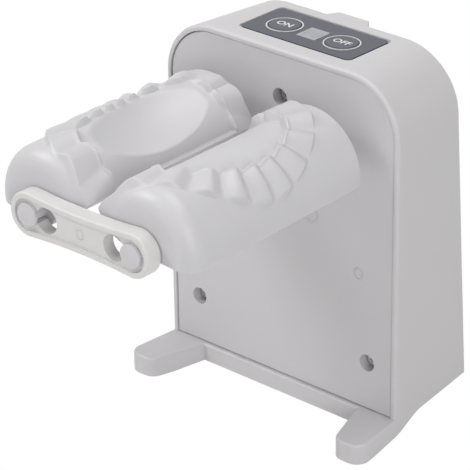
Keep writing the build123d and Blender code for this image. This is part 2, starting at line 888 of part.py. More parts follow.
# Position switch beside the cam, its nose up against the lobe
switch_right = -axle_half_pitch - cam_radius - switch_gap
with BuildPart() as position_switch:
    with BuildSketch(at_depth(plate_back)):
        with Locations((switch_right - switch_body_width / 2, axle_height)):
            Rectangle(switch_body_width, switch_body_height)
    extrude(amount=-switch_body_depth)
    with BuildSketch(at_depth(cam_front + cam_thickness)):
        with Locations((switch_right, axle_height)):
            Circle(switch_nose)
    extrude(amount=cam_thickness)
finish(position_switch.part, "position_switch")

# Pinion on the gear motor's output, turned so that its teeth lie in the left gear's gaps
mesh_angle = degrees(atan2(pinion_height - axle_height, pinion_x + axle_half_pitch))
pinion_turn = mesh_angle + 180 + (mesh_angle * gear_teeth - 180) / pinion_teeth
with BuildPart() as drive_pinion:
    with BuildSketch(at_depth(gear_front + gear_face)):
        with Locations((pinion_x, pinion_height)):
            Polygon(*gear_points(pinion_radius, pinion_teeth, pinion_turn), align=None)
            Circle(output_radius + press_clearance, mode=Mode.SUBTRACT)
    extrude(amount=gear_face)
finish(drive_pinion.part, "drive_pinion")
with BuildPart() as output_shaft:
    with BuildSketch(at_depth(plate_back + collar_length)):
        with Locations((pinion_x, pinion_height)):
            Circle(output_radius)
    extrude(amount=plate_back + collar_length - output_tip)
finish(output_shaft.part, "output_shaft")

# Gear motor: worm gearhead behind the plate with the motor hanging below it
gearhead_mid_x = pinion_x + (gearhead_right - gearhead_left) / 2
gearhead_mid_z = pinion_height + (gearhead_above - gearhead_below) / 2
with BuildPart() as gearhead:
    with BuildSketch(at_depth(plate_back + gearhead_depth)):
        with Locations((gearhead_mid_x, gearhead_mid_z)):
            RectangleRounded(
                gearhead_left + gearhead_right,
                gearhead_above + gearhead_below,
                gearhead_corner,
            )
    extrude(amount=gearhead_depth)
    with BuildSketch(at_depth(plate_back)):
        with Locations((pinion_x, pinion_height)):
            Circle(gearhead_collar)
    extrude(amount=collar_length)
    with BuildSketch(at_depth(plate_back - collar_length)):
        with Locations((pinion_x, pinion_height)):
            Circle(output_radius + running_clearance)
    extrude(amount=-2 * collar_length - screw_end_gap, mode=Mode.SUBTRACT)
    with BuildSketch(at_depth(plate_back)):
        with Locations(*motor_screw_places):
            Circle(pilot_radius)
    extrude(amount=-screw_bite, mode=Mode.SUBTRACT)
finish(gearhead.part, "gearhead")
motor_y = y_at(plate_back + gearhead_depth / 2)
motor_top = pinion_height - gearhead_below
with BuildPart() as motor:
    with BuildSketch(Plane.XY.offset(motor_top - motor_length)):
        with Locations((gearhead_mid_x, motor_y)):
            Circle(motor_radius)
    extrude(amount=motor_length)
    with BuildSketch(Plane.XY.offset(motor_top - motor_length - motor_cap)):
        with Locations((gearhead_mid_x, motor_y)):
            Circle(motor_cap_radius)
    extrude(amount=motor_cap)
finish(motor.part, "motor")
motor_screws = make_screws(
    at_depth(plate_front), motor_screw_places, screw_head_height, plate_screw_length
)
finish(motor_screws, "motor_screws")

# Control overlay: dark plate let into the top, with raised rings round the keys
with BuildPart() as control_overlay:
    with BuildSketch(top_plane.offset(-overlay_recess)):
        RectangleRounded(2 * overlay_half_width, 2 * overlay_half_depth, overlay_corner)
        with Locations(*key_places):
            Circle(key_radius + key_clearance, mode=Mode.SUBTRACT)
        with Locations((0, key_shift)):
            Rectangle(
                2 * (window_half_width + window_clearance),
                2 * (window_half_depth + window_clearance),
                mode=Mode.SUBTRACT,
            )
    extrude(amount=overlay_thickness)
    with BuildSketch(top_plane.offset(overlay_thickness - overlay_recess)):
        with Locations(*key_places):
            Circle(key_ring_outer)
            Circle(key_ring_inner, mode=Mode.SUBTRACT)
    extrude(amount=key_ring_height)
finish(control_overlay.part, "control_overlay")
with BuildPart() as display_window:
    with BuildSketch(top_plane.offset(-overlay_recess)):
        with Locations((0, key_shift)):
            Rectangle(2 * window_half_width, 2 * window_half_depth)
    extrude(amount=overlay_thickness + window_proud)
finish(display_window.part, "display_window")

# Keys: a crowned cap over a flange that holds it under the top, and the switch plunger below
key_top = overlay_thickness - overlay_recess + key_height
flange_top = -wall - key_flange_gap
flange_bottom = flange_top - key_flange_thickness
for key_name, switch_name, key_side in (("start_key", "start_switch", -1), ("stop_key", "stop_switch", 1)):
    key_place = (key_side * key_x, key_shift)
    with BuildPart() as key:
        with BuildSketch(top_plane.offset(flange_bottom)):
            with Locations(key_place):
                Circle(key_flange_radius)
        extrude(amount=key_flange_thickness)
        with BuildSketch(top_plane.offset(flange_bottom)):
            with Locations(key_place):
                Circle(key_radius)
        extrude(amount=key_top - flange_bottom)
        fillet(key.faces().sort_by(Axis.Z)[-1].edges(), key_crown)
    finish(key.part, key_name)
    plunger_length = flange_bottom + board_top_drop - key_travel - plunger_end_gap
    with BuildPart() as plunger:
        with BuildSketch(top_plane.offset(flange_bottom)):
            with Locations(key_place):
                Circle(plunger_radius)
        extrude(amount=-plunger_length)
    finish(plunger.part, f"{key_name}_plunger")
    with BuildPart() as key_switch:
        with BuildSketch(top_plane.offset(-board_top_drop)):
            with Locations(key_place):
                Rectangle(key_switch_size, key_switch_size)
        extrude(amount=key_switch_height)
        with BuildSketch(top_plane.offset(key_switch_height - board_top_drop)):
            with Locations(key_place):
                Circle(plunger_radius + plunger_clearance)
        extrude(amount=plunger_end_gap / 2 - key_switch_height, mode=Mode.SUBTRACT)
    finish(key_switch.part, switch_name)

# Control board under the top, with the digit display below the window
with BuildPart() as control_board:
    with BuildSketch(board_plane.offset(-board_thickness)):
        RectangleRounded(2 * board_half_width, 2 * board_half_depth, overlay_corner)
        with Locations(*board_post_places):
            Circle(hole_radius, mode=Mode.SUBTRACT)
    extrude(amount=board_thickness)
finish(control_board.part, "control_board")
with BuildPart() as digit_display:
    with BuildSketch(board_plane):
        with Locations((0, key_shift)):
            Rectangle(2 * window_half_width, 2 * window_half_depth)
    extrude(amount=display_height)
finish(digit_display.part, "digit_display")
board_underside = board_plane.offset(-board_thickness).origin
under_board = Plane(origin=board_underside, x_dir=(1, 0, 0), z_dir=(0, -top_slope, -1))
board_screw_length = board_thickness + board_screw_bite
board_screws = make_screws(under_board, board_post_places, small_head_height, board_screw_length)
finish(board_screws, "control_board_screws")

# Main board on its posts, with one chip, and the charging inlet that reaches the back
with BuildPart() as main_board:
    board_mid_x = (main_board_left + main_board_right) / 2
    board_mid_z = (main_board_bottom + main_board_top) / 2
    with BuildSketch(at_depth(main_board_depth + board_thickness)):
        with Locations((board_mid_x, board_mid_z)):
            Rectangle(main_board_right - main_board_left, main_board_top - main_board_bottom)
        with Locations(*main_post_places):
            Circle(hole_radius, mode=Mode.SUBTRACT)
    extrude(amount=board_thickness)
    with BuildSketch(at_depth(main_board_depth)):
        with Locations((board_mid_x, board_mid_z)):
            Rectangle(chip_size, chip_size)
    extrude(amount=chip_height)
finish(main_board.part, "main_board")
main_screws = make_screws(
    at_depth(main_board_depth), main_post_places, screw_head_height, board_screw_length
)
finish(main_screws, "main_board_screws")
with BuildPart() as charging_inlet:
    with BuildSketch(at_depth(port_depth - port_inset)):
        with Locations((port_x, port_height)):
            SlotOverall(2 * port_half_width, 2 * port_half_height)
    extrude(amount=port_depth - port_inset - main_board_depth - board_thickness)
    with BuildSketch(at_depth(port_depth - port_inset)):
        with Locations((port_x, port_height)):
            SlotOverall(2 * (port_half_width - port_wall), 2 * (port_half_height - port_wall))
            SlotOverall(port_half_width, port_wall * 2, mode=Mode.SUBTRACT)
    extrude(amount=port_mouth_depth, mode=Mode.SUBTRACT)
finish(charging_inlet.part, "charging_inlet")

# Screws of the base cover, driven upwards
under_cover = Plane(origin=(0, 0, rear_edge_height), x_dir=(1, 0, 0), z_dir=(0, 0, -1))
cover_screws = make_screws(
    under_cover, upside(boss_places), small_head_height, cover_plate_thickness + screw_bite - screw_end_gap
)
finish(cover_screws, "base_cover_screws")

# Moulds: half drums, measured across from the shaft's axis towards the other mould
mould_front_y = y_at(-mould_rear - mould_length)
mould_rear_y = y_at(-mould_rear)
fan_y = y_at(-fan_centre)
above_rim = axle_height + rim_radius + cut_margin
rim_low = axle_height + lip_rise - rim_below_lip


def across(side, inward):
    """X of a point this far from the shaft's axis towards the gap between the moulds."""
    return side * (axle_half_pitch - inward)


def make_drum(side, radius, front_y, rear_y, front_round, rear_rounding):
    """Round bar about one shaft's axis, with rounded ends."""
    axle_x = side * axle_half_pitch
    with BuildPart() as drum:
        with BuildSketch(Plane.XY.offset(axle_height)):
            with BuildLine():
                Line((axle_x, front_y), (axle_x + radius - front_round, front_y))
                JernArc((axle_x + radius - front_round, front_y), (1, 0), front_round, 90)
                Line((axle_x + radius, front_y + front_round), (axle_x + radius, rear_y - rear_rounding))
                JernArc((axle_x + radius, rear_y - rear_rounding), (0, 1), rear_rounding, 90)
                Polyline((axle_x + radius - rear_rounding, rear_y), (axle_x, rear_y), (axle_x, front_y))
            make_face()
        revolve(axis=Axis((axle_x, 0, axle_height), (0, 1, 0)), revolution_arc=360)
    return drum.part


def make_under(side, lift):
    """Space below a mould's underside, flat outside and curving up to the lip."""
    far = 2 * drum_radius
    past_lip = drum_radius / 4
    with BuildPart() as under:
        with BuildSketch(at_depth(0)):
            with BuildLine():
                start = (across(side, 0), axle_height - middle_drop + lift)
                lip = (across(side, lip_across), axle_height + lip_rise + lift)
                rise = TangentArc(start, lip, tangent=(-side, 0))
                Polyline(
                    lip,
                    (across(side, lip_across + past_lip), axle_height + lip_rise + lift + past_lip),
                    (across(side, far), axle_height - far),
                    (across(side, -far), axle_height - far),
                    (across(side, -far), axle_height - flat_drop + lift),
                    (across(side, -drum_radius), axle_height - flat_drop + lift),
                    start,
                )
            make_face()
        extrude(amount=mould_rear + mould_length + link_gap)
    return under.part


def pocket_sketch(side):
    """Plan of a D-shaped pocket: straight ends beside the lip and a round far side."""
    with BuildSketch(Plane.XY.offset(rim_low)) as plan:
        if side < 0:
            left_y = y_at(-left_pocket_centre)
            with Locations((across(side, lip_across), left_y)):
                left_reach = lip_across + left_pocket_far
                RectangleRounded(2 * left_reach, 2 * left_pocket_half_length, left_pocket_corner)
        else:
            right_y = y_at(-right_pocket_centre)
            with Locations((across(side, right_pocket_start), right_y)):
                Ellipse(right_pocket_reach, right_pocket_half_length)
            with Locations((across(side, (right_pocket_start + lip_inner) / 2), right_y)):
                Rectangle(lip_inner - right_pocket_start, 2 * right_pocket_half_length)
        beyond_lip = lip_inner + drum_radius
        with Locations((across(side, lip_inner + beyond_lip / 2), fan_y)):
            Rectangle(beyond_lip, 4 * fan_half_length, mode=Mode.SUBTRACT)
    return plan.sketch


def fan_sketch(side):
    """Plan of the pleated rim: half an ellipse that flares to both ends beside the lip."""
    flare = fan_half_length + fan_flare
    with BuildSketch(Plane.XY.offset(rim_low)) as plan:
        with Locations((across(side, fan_hub), fan_y)):
            Ellipse(fan_reach, fan_half_length)
        with BuildLine():
            Polyline(
                (across(side, fan_hub), fan_y - fan_half_length),
                (across(side, lip_across), fan_y - flare),
                (across(side, 2 * lip_across), fan_y - flare),
                (across(side, 2 * lip_across), fan_y + flare),
                (across(side, lip_across), fan_y + flare),
                (across(side, fan_hub), fan_y + fan_half_length),
                close=True,
            )
        make_face()
    return plan.sketch


def make_bowl(side, grow):
    """Barrel about a level line above the mould; what it cuts from the drum is the bowl."""
    tilt = radians(bowl_angle)
    out_x = -side * sin(tilt)
    out_z = cos(tilt)
    edge = sqrt(drum_radius**2 - bowl_half_chord**2)
    low = drum_radius - bowl_depth
    sag = edge - low
    barrel = (bowl_half_chord**2 + sag**2) / (2 * sag)
    middle = low + barrel
    cross = Plane(
        origin=(side * axle_half_pitch, y_at(-left_pocket_centre), axle_height),
        x_dir=(0, 1, 0),
        z_dir=(out_z, 0, -out_x),
    )
    half = bowl_half_length + grow
    brim = drum_radius - grow
    with BuildPart() as bowl:
        with BuildSketch(cross):
            with BuildLine():
                Polyline((-half, brim), (-half, middle), (half, middle), (half, brim))
                ThreePointArc((half, brim), (0, low - grow), (-half, brim))
            make_face()
        spindle = Axis(
            (side * axle_half_pitch + middle * out_x, 0, axle_height + middle * out_z),
            (0, 1, 0),
        )
        revolve(axis=spindle, revolution_arc=360)
    return bowl.part


def make_rim(side, plan):
    """Raised rim: a low band with taller pleats that fan out from beside the lip."""
    front_y = mould_front_y + rim_front_margin
    rear_y = mould_rear_y - rim_rear_margin
    low_band = make_drum(side, rim_base_radius, front_y, rear_y, rear_round / 2, rear_round / 2)
    high_band = make_drum(side, rim_radius, front_y, rear_y, rear_round / 2, rear_round / 2)
    with BuildPart() as rim:
        extrude(plan, amount=above_rim - rim_low)
        add(low_band, mode=Mode.INTERSECT)
    with BuildPart() as pleats:
        with BuildSketch(Plane.XY.offset(rim_low)):
            for pleat in range(pleat_count):
                middle = first_pleat + (pleat + pleat_middle) * pleat_pitch
                spread = pleat_share * pleat_pitch / 2
                reach = 2 * fan_half_length
                start = (across(side, fan_hub), fan_y)
                tips = []
                for turn in (radians(middle - spread), radians(middle + spread)):
                    tips.append((across(side, fan_hub - reach * sin(turn)), fan_y - reach * cos(turn)))
                with BuildLine():
                    Polyline(start, tips[0], tips[1], close=True)
                make_face()
            add(plan.moved(Location((0, 0, -rim_low))), mode=Mode.INTERSECT)
        extrude(amount=above_rim - rim_low)
        add(high_band, mode=Mode.INTERSECT)
    with BuildPart() as whole:
        add(rim.part)
        add(pleats.part)
    return whole.part


for side_name, side in (("left", -1), ("right", 1)):
    axle_x = side * axle_half_pitch
    floor_radius = drum_radius if side < 0 else bed_radius
    core_radius = floor_radius - mould_wall
    under = make_under(side, 0)
    core_front_y = mould_front_y + end_wall
    core_rear_y = mould_rear_y - end_wall / 2
    core = make_drum(side, core_radius, core_front_y, core_rear_y, core_round, core_round)
    drum = make_drum(side, drum_radius, mould_front_y, mould_rear_y, nose_radius, rear_round)
    rim = make_rim(side, fan_sketch(side))
    floor_front_y = mould_front_y - cut_margin
    floor_rear_y = mould_rear_y + cut_margin
    floor_drum = make_drum(side, floor_radius, floor_front_y, floor_rear_y, core_round, core_round)
    with BuildPart() as pocket_space:
        extrude(pocket_sketch(side), amount=above_rim - rim_low)
        add(floor_drum, mode=Mode.SUBTRACT)
    # Only the left mould has the bowl; the right one has a shallow bed
    with BuildPart() as hollow_core:
        add(core)
        if side < 0:
            add(make_bowl(side, mould_wall), mode=Mode.SUBTRACT)
    with BuildPart() as mould:
        add(drum)
        add(rim)
        add(pocket_space.part, mode=Mode.SUBTRACT)
        add(hollow_core.part, mode=Mode.SUBTRACT)
        if side < 0:
            add(make_bowl(side, 0), mode=Mode.SUBTRACT)
        add(under, mode=Mode.SUBTRACT)
        # Hubs at both ends, the pin in front and the socket behind
        with BuildSketch(behind(-mould_rear - rear_hub_length)):
            with Locations((axle_x, -axle_height)):
                Circle(hub_radius)
        extrude(amount=rear_hub_length)
        with BuildSketch(behind(-mould_rear - mould_length)):
            with Locations((axle_x, -axle_height)):
                Circle(hub_radius)
        extrude(amount=front_hub_length)
        with BuildSketch(behind(-link_front)):
            with Locations((axle_x, -axle_height)):
                Circle(pin_radius)
        extrude(amount=link_front - mould_rear - mould_length + cut_margin)
        with BuildSketch(behind(-pin_tip)):
            with Locations((axle_x, -axle_height)):
                Circle(pin_head_radius)
        extrude(amount=pin_head_thickness)
        with BuildSketch(at_depth(-mould_rear)):
            with Locations((axle_x, axle_height)):
                RegularPolygon(spigot_apothem + spigot_clearance, 6, major_radius=False)
        extrude(amount=socket_depth, mode=Mode.SUBTRACT)
    finish(mould.part, f"{side_name}_mould")
    # Cover that closes the hollow of the drum from below
    with BuildPart() as mould_cover:
        cover_front_y = core_front_y + cover_clearance
        cover_rear_y = core_rear_y - cover_clearance
        cover_radius = core_radius - cover_clearance
        add(make_drum(side, cover_radius, cover_front_y, cover_rear_y, core_round, core_round))
        add(make_under(side, cover_thickness), mode=Mode.INTERSECT)
        add(under, mode=Mode.SUBTRACT)
        with BuildSketch(behind(-mould_rear - rear_hub_length - cover_clearance)):
            with Locations((axle_x, -axle_height)):
                Circle(hub_radius + cover_clearance)
        extrude(amount=rear_hub_length + cover_clearance, mode=Mode.SUBTRACT)
        with BuildSketch(behind(-mould_rear - mould_length)):
            with Locations((axle_x, -axle_height)):
                Circle(hub_radius + cover_clearance)
        extrude(amount=front_hub_length + cover_clearance, mode=Mode.SUBTRACT)
    finish(mould_cover.part, f"{side_name}_mould_cover")


def link_sketch(depth, inset):
    """Outline of the link plate: two round ends joined by long hollow curves that touch them."""
    end = link_end_radius - inset
    waist = link_waist - inset
    bend = (axle_half_pitch**2 + waist**2 - end**2) / (2 * (end - waist))
    lean = axle_half_pitch / (bend + end)
    touch_x = axle_half_pitch - end * lean
    rise = end * sqrt(1 - lean**2)
    high = axle_height + rise
    low = axle_height - rise
    with BuildSketch(at_depth(depth)) as outline:
        with Locations(*axle_places):
            Circle(end)
        with BuildLine():
            ThreePointArc((-touch_x, high), (0, axle_height + waist), (touch_x, high))
            Line((touch_x, high), (touch_x, low))
            ThreePointArc((touch_x, low), (0, axle_height - waist), (-touch_x, low))
            Line((-touch_x, low), (-touch_x, high))
        make_face()
    return outline.sketch


# Link plate: dog bone with a raised rim and two keyhole slots for the pins
with BuildPart() as link_plate:
    extrude(link_sketch(-link_rear, 0), amount=link_thickness)
    fillet(link_plate.faces().sort_by(Axis.Y)[0].edges(), link_edge_round)
    extrude(link_sketch(-link_front, link_rim_width), amount=-link_floor_drop, mode=Mode.SUBTRACT)
    with BuildSketch(at_depth(-link_rear)):
        with Locations(*axle_places):
            Circle(pin_radius + pin_clearance)
        for side in (-1, 1):
            with Locations((across(side, key_hole_inset), axle_height)):
                Circle(key_hole_radius)
            with Locations((across(side, key_hole_inset / 2), axle_height)):
                Rectangle(key_hole_inset, key_neck_width)
    extrude(amount=link_thickness, mode=Mode.SUBTRACT)
finish(link_plate.part, "link_plate")
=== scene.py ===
import json
import math

import bmesh
import bpy
import numpy as np
from mathutils import Matrix, Vector


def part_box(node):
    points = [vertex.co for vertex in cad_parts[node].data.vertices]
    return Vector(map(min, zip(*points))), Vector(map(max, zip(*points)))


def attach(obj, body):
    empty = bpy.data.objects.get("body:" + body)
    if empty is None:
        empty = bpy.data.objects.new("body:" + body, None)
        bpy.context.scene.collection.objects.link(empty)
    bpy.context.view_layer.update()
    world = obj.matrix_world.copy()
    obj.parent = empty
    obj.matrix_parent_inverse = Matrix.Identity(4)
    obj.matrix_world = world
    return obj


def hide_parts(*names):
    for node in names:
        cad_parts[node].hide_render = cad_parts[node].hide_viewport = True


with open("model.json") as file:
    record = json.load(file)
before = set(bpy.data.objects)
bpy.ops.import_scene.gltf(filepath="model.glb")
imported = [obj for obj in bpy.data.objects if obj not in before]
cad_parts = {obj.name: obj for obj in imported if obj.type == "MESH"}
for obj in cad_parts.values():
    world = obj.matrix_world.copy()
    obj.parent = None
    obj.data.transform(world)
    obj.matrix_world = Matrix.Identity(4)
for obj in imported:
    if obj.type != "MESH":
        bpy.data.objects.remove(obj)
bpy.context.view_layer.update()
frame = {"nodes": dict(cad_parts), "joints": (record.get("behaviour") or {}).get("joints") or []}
scene = bpy.context.scene
scene.view_settings.view_transform = "Standard"

# Housing, front panel and base cover: warm light grey plastic, injection moulded in thick walls.
# The panel is let into the housing's rim and screwed on, and carries two faint rings that ejector
# pins left in it. The base cover is screwed on from below.
SHELL_GREY = (0.590, 0.578, 0.588)
SHELL_MOTTLE = 0.02
MOTTLE_SCALE = 22.0
GLOSS_SPREAD = 0.05
GRAIN_SCALE = 2600.0
GRAIN_DEPTH = 0.0002
MARK_DEPTH = 0.0003
FLAT_ALONG_Y = 1
PANEL_MARKS = [
    {"centre": (0.0438, 0, 0.0753), "radius": 0.0022, "width": 0.0012},
    {"centre": (0.0175, 0, 0.0951), "radius": 0.0036, "width": 0.0014},
]


def new_material(name, colour, roughness, metallic=0.0):
    made = bpy.data.materials.new(name)
    made.use_nodes = True
    shader = made.node_tree.nodes["Principled BSDF"]
    shader.inputs["Base Color"].default_value = (*colour, 1.0)
    shader.inputs["Roughness"].default_value = roughness
    shader.inputs["Metallic"].default_value = metallic
    return made, made.node_tree, shader


def add_node(tree, kind, **values):
    """New node with these sockets or settings, by name."""
    node = tree.nodes.new(kind)
    for key, value in values.items():
        if key in node.inputs:
            node.inputs[key].default_value = value
        else:
            setattr(node, key, value)
    return node


def object_noise(tree, scale, detail=3.0, stretch=(1, 1, 1)):
    """Noise over the object's own coordinates, in features per metre."""
    where = tree.nodes.new("ShaderNodeTexCoord")
    mapping = tree.nodes.new("ShaderNodeMapping")
    mapping.inputs["Scale"].default_value = stretch
    noise = add_node(tree, "ShaderNodeTexNoise", Scale=scale, Detail=detail)
    tree.links.new(where.outputs["Object"], mapping.inputs["Vector"])
    tree.links.new(mapping.outputs["Vector"], noise.inputs["Vector"])
    return noise


def spread_over(tree, noise, low, high):
    """Socket with the noise stretched to run from low to high."""
    stretched = tree.nodes.new("ShaderNodeMapRange")
    stretched.inputs["To Min"].default_value = low
    stretched.inputs["To Max"].default_value = high
    tree.links.new(noise.outputs["Fac"], stretched.inputs["Value"])
    return stretched.outputs["Result"]


def moulded(name, colour, roughness, mottle=0.035, grain=0.012):
    """Moulded plastic: a slight mottle of colour and gloss, and a fine spark-eroded grain."""
    made, tree, shader = new_material(name, colour, roughness)
    slow = object_noise(tree, MOTTLE_SCALE)
    tint = add_node(tree, "ShaderNodeVectorMath", operation="SCALE")
    tint.inputs[0].default_value = colour
    tree.links.new(spread_over(tree, slow, 1 - mottle, 1 + mottle), tint.inputs["Scale"])
    tree.links.new(tint.outputs["Vector"], shader.inputs["Base Color"])
    gloss = spread_over(tree, slow, roughness - GLOSS_SPREAD, roughness + GLOSS_SPREAD)
    tree.links.new(gloss, shader.inputs["Roughness"])
    fine = object_noise(tree, GRAIN_SCALE, detail=2.0)
    bump = add_node(tree, "ShaderNodeBump", Strength=grain, Distance=GRAIN_DEPTH)
    tree.links.new(fine.outputs["Fac"], bump.inputs["Height"])
    tree.links.new(bump.outputs["Normal"], shader.inputs["Normal"])
    return made


def ring_weight(tree, centre, flat_axis, radius, width):
    """Socket that is 1 on a ring of this radius and fades to 0 at half the width from it."""
    where = tree.nodes.new("ShaderNodeTexCoord")
    spread = [1.0, 1.0, 1.0]
    spread[flat_axis] = 0.0
    flat = add_node(tree, "ShaderNodeVectorMath", operation="MULTIPLY")
    flat.inputs[1].default_value = spread
    away = add_node(tree, "ShaderNodeVectorMath", operation="DISTANCE")
    away.inputs[1].default_value = [c * k for c, k in zip(centre, spread)]
    gap = add_node(tree, "ShaderNodeMath", operation="SUBTRACT")
    gap.inputs[1].default_value = radius
    size = add_node(tree, "ShaderNodeMath", operation="ABSOLUTE")
    weight = tree.nodes.new("ShaderNodeMapRange")
    weight.inputs["From Min"].default_value = width / 2
    weight.inputs["From Max"].default_value = width / 4
    tree.links.new(where.outputs["Object"], flat.inputs[0])
    tree.links.new(flat.outputs["Vector"], away.inputs[0])
    tree.links.new(away.outputs["Value"], gap.inputs[0])
    tree.links.new(gap.outputs[0], size.inputs[0])
    tree.links.new(size.outputs[0], weight.inputs["Value"])
    return weight.outputs["Result"]


def add_ejector_marks(made, marks, flat_axis):
    """Faint raised rings that ejector pins leave in a moulding, laid over its grain."""
    tree = made.node_tree
    shader = tree.nodes["Principled BSDF"]
    normal = shader.inputs["Normal"].links[0].from_socket
    for mark in marks:
        weight = ring_weight(tree, flat_axis=flat_axis, **mark)
        bump = add_node(tree, "ShaderNodeBump", Strength=1.0, Distance=MARK_DEPTH)
        tree.links.new(weight, bump.inputs["Height"])
        tree.links.new(normal, bump.inputs["Normal"])
        normal = bump.outputs["Normal"]
    tree.links.new(normal, shader.inputs["Normal"])


def paint(material, *nodes):
    for node in nodes:
        mesh = frame["nodes"][node].data
        mesh.materials.clear()
        mesh.materials.append(material)


paint(moulded("shell_plastic", SHELL_GREY, roughness=0.46, mottle=SHELL_MOTTLE), "housing", "base_cover")
panel_plastic = moulded("panel_plastic", SHELL_GREY, roughness=0.50, mottle=SHELL_MOTTLE)
add_ejector_marks(panel_plastic, PANEL_MARKS, FLAT_ALONG_Y)
paint(panel_plastic, "front_panel")

# Foot pads: four discs of black rubber, pressed into the ends of the feet. They keep the machine
# from sliding and are the only part of it that touches the table.
RUBBER_BLACK = (0.03, 0.03, 0.032)
foot_rubber = moulded("foot_rubber", RUBBER_BLACK, roughness=0.8, mottle=0.1, grain=0.2)
paint(foot_rubber, "front_foot_pads", "rear_foot_pads")

# Moulds: two half drums of grey plastic, each moulded in one piece with its pleated rim, the hub
# that fits its coupling and the headed pin in front, and closed with a flat cover. Their faces
# are the distance from the shaft's axis, worked out over the length and round the drum.
joints = {joint["name"]: joint for joint in frame["joints"]}
AXLE_X, _, AXLE_Z = joints["right_mould_turn"]["pos_m"]
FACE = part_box("front_panel")[0].y
MM = 0.001
MOULD_GREY = (0.590, 0.580, 0.594)
COVER_GREY = (0.56, 0.55, 0.56)
SHARP_EDGE = 34
SOFT_SHARE, SOFT_COLOUR, SOFT_DEPTH = 0.12, (1.0, 0.9, 0.85), 0.0015

# Drum, in millimetres: lengths along the shaft from the panel's face, radii from the shaft's axis.
DRUM_RADIUS, RIM_RADIUS, NOSE_RADIUS = 25.7, 28.2, 9.0
FRONT_END, REAR_END = -116.9, -12.7
FRONT_ROUND, REAR_ROUND = 0.7, 1.5
LIP_ACROSS, LIP_RISE, UNDER_MIDDLE, FAR_DROP = 25.0, 8.0, -3.0, 3.9
COVER_FRONT, COVER_REAR, COVER_REACH, COVER_STEP = 6.1, 3.1, 21.2, 0.35

# Mesh of the drum: its rows by their distance from the front end, closest where it curves most.
FRONT_ROWS, REAR_ROWS = [0.0, 0.05, 0.15], [103.2, 103.7, 104.0, 104.2]
NOSE_ROWS = np.linspace(0.3, 11.0, 62)
DRUM_ROWS = np.linspace(11.4, 102.7, 216)
SKIN_POINTS, UNDER_POINTS = 276, 30
UNDER_TABLE = np.linspace(0, 34, 400)
START_GUESS, END_GUESS = -math.radians(98.7), math.radians(72.0)
MERGE_DISTANCE = 1e-6

# Pleated rim: a fan of pleats round a hub near the lip, each with a round back and a hollow side.
ACROSS_RADIUS = 27.0
FAN_Y, FAN_HUB, FAN_REACH, FAN_HALF, FAN_FLARE, FAN_MEAN = -63.2, 12.0, 37.6, 50.0, 3.7 / 13.0, 45.0
PLEAT_TURN, PLEAT_LOW, PLEAT_HEIGHT, PLEAT_STEEP, PLEAT_ROUND = 19.4, 25.45, 2.65, 0.42, 1.2
WALL_WIDTH, WALL_LEAN, WALL_MARGIN = 1.0, 0.22, 0.1
RIM_REAR, RIM_FADE = -13.2, 1.2
LIP_TURN, LIP_FADE, LIP_STEP = math.radians(69.2), math.radians(2.4), 0.2

# Pockets: a bowl in the left mould, a flat bed in the right one, both with a bead round the edge.
POCKET_EDGE, BEAD_GAP, BEAD_WIDTH = 0.3, 0.6, 0.6
LEFT_POCKET = {"middle": -61.3, "half": 36.5, "start": 11.0, "reach": 17.5, "power": 3.2}
RIGHT_POCKET = {"middle": -62.7, "half": 33.5, "start": 8.0, "reach": 22.5, "power": 2.0}
LEFT_EDGE = {"first_pleat": 28.0, "wave": 0.8, "wall": 0.9, "bead_height": 0.9}
RIGHT_EDGE = {"first_pleat": 30.5, "wave": 1.2, "wall": 1.2, "bead_height": 0.6}
BOWL_Y, BOWL_TURN, BOWL_LOW, BOWL_HALF, BOWL_CHORD = -61.3, math.radians(22.0), 18.1, 32.0, 14.6
BOWL_SPAN, BOWL_BLEND, NO_BOWL = 1.2, 1.2, 99.0
BED_RADIUS = 23.8

# Turned parts of a mould, as pairs of radius and place along the shaft.
REAR_HUB = [(7.0, -12.7), (8.0, -12.9), (8.0, -36.5), (7.4, -37.3)]
FRONT_HUB = [(8.0, -116.8), (8.0, -107.2)]
PIN_NECK = [(3.5, -116.3), (3.5, -123.6)]
PIN_HEAD = [(4.9, -123.32), (5.2, -123.7), (5.2, -124.8), (5.1, -125.05), (4.8, -125.18)]


def ease(edge, width, value):
    """0 below the edge, 1 above it, smooth over the width."""
    t = np.clip((value - edge) / width + 0.5, 0, 1)
    return t * t * (3 - 2 * t)


def smooth_min(a, b, width):
    """The lower of two heights, with a round corner of this width between them."""
    share = np.clip(0.5 + 0.5 * (b - a) / width, 0, 1)
    return b * (1 - share) + a * share - width * share * (1 - share)


def bend_radius(half_chord, sag):
    """Radius of the arc that sags this far over half a chord."""
    return (half_chord**2 + sag**2) / (2 * sag)


def pleat(phase):
    """One pleat of unit height for each unit of phase: a round back and a steeper hollow side."""
    part = phase - np.floor(phase)
    back = np.sin(np.clip(part / (1 - PLEAT_STEEP), 0, 1) * math.pi / 2) ** PLEAT_ROUND
    side = np.clip((1 - part) / PLEAT_STEEP, 0, 1)
    return np.where(part < 1 - PLEAT_STEEP, back, side * side * (3 - 2 * side))


def fan_phase(u, y, first_pleat):
    """Number of pleats passed, from the lip at the front round to the lip at the back."""
    turn = np.degrees(np.arctan2(FAN_HUB - u, FAN_Y - y))
    return (turn - first_pleat) / PLEAT_TURN


def inside_fan(u, y):
    """Millimetres inside the outline of the pleated rim, roughly."""
    half = FAN_HALF + FAN_FLARE * np.maximum(u - FAN_HUB, 0)
    across = np.maximum(FAN_HUB - u, 0) / FAN_REACH
    along = (y - FAN_Y) / half
    return (1 - np.sqrt(across**2 + along**2)) * FAN_MEAN


def inside_pocket(u, y, middle, half, start, reach, power):
    """Millimetres inside the D-shaped pocket, roughly."""
    across = np.maximum(start - u, 0) / reach
    along = np.abs(y - middle) / half
    return (1 - (across**power + along**power) ** (1 / power)) * (reach + half) / 2


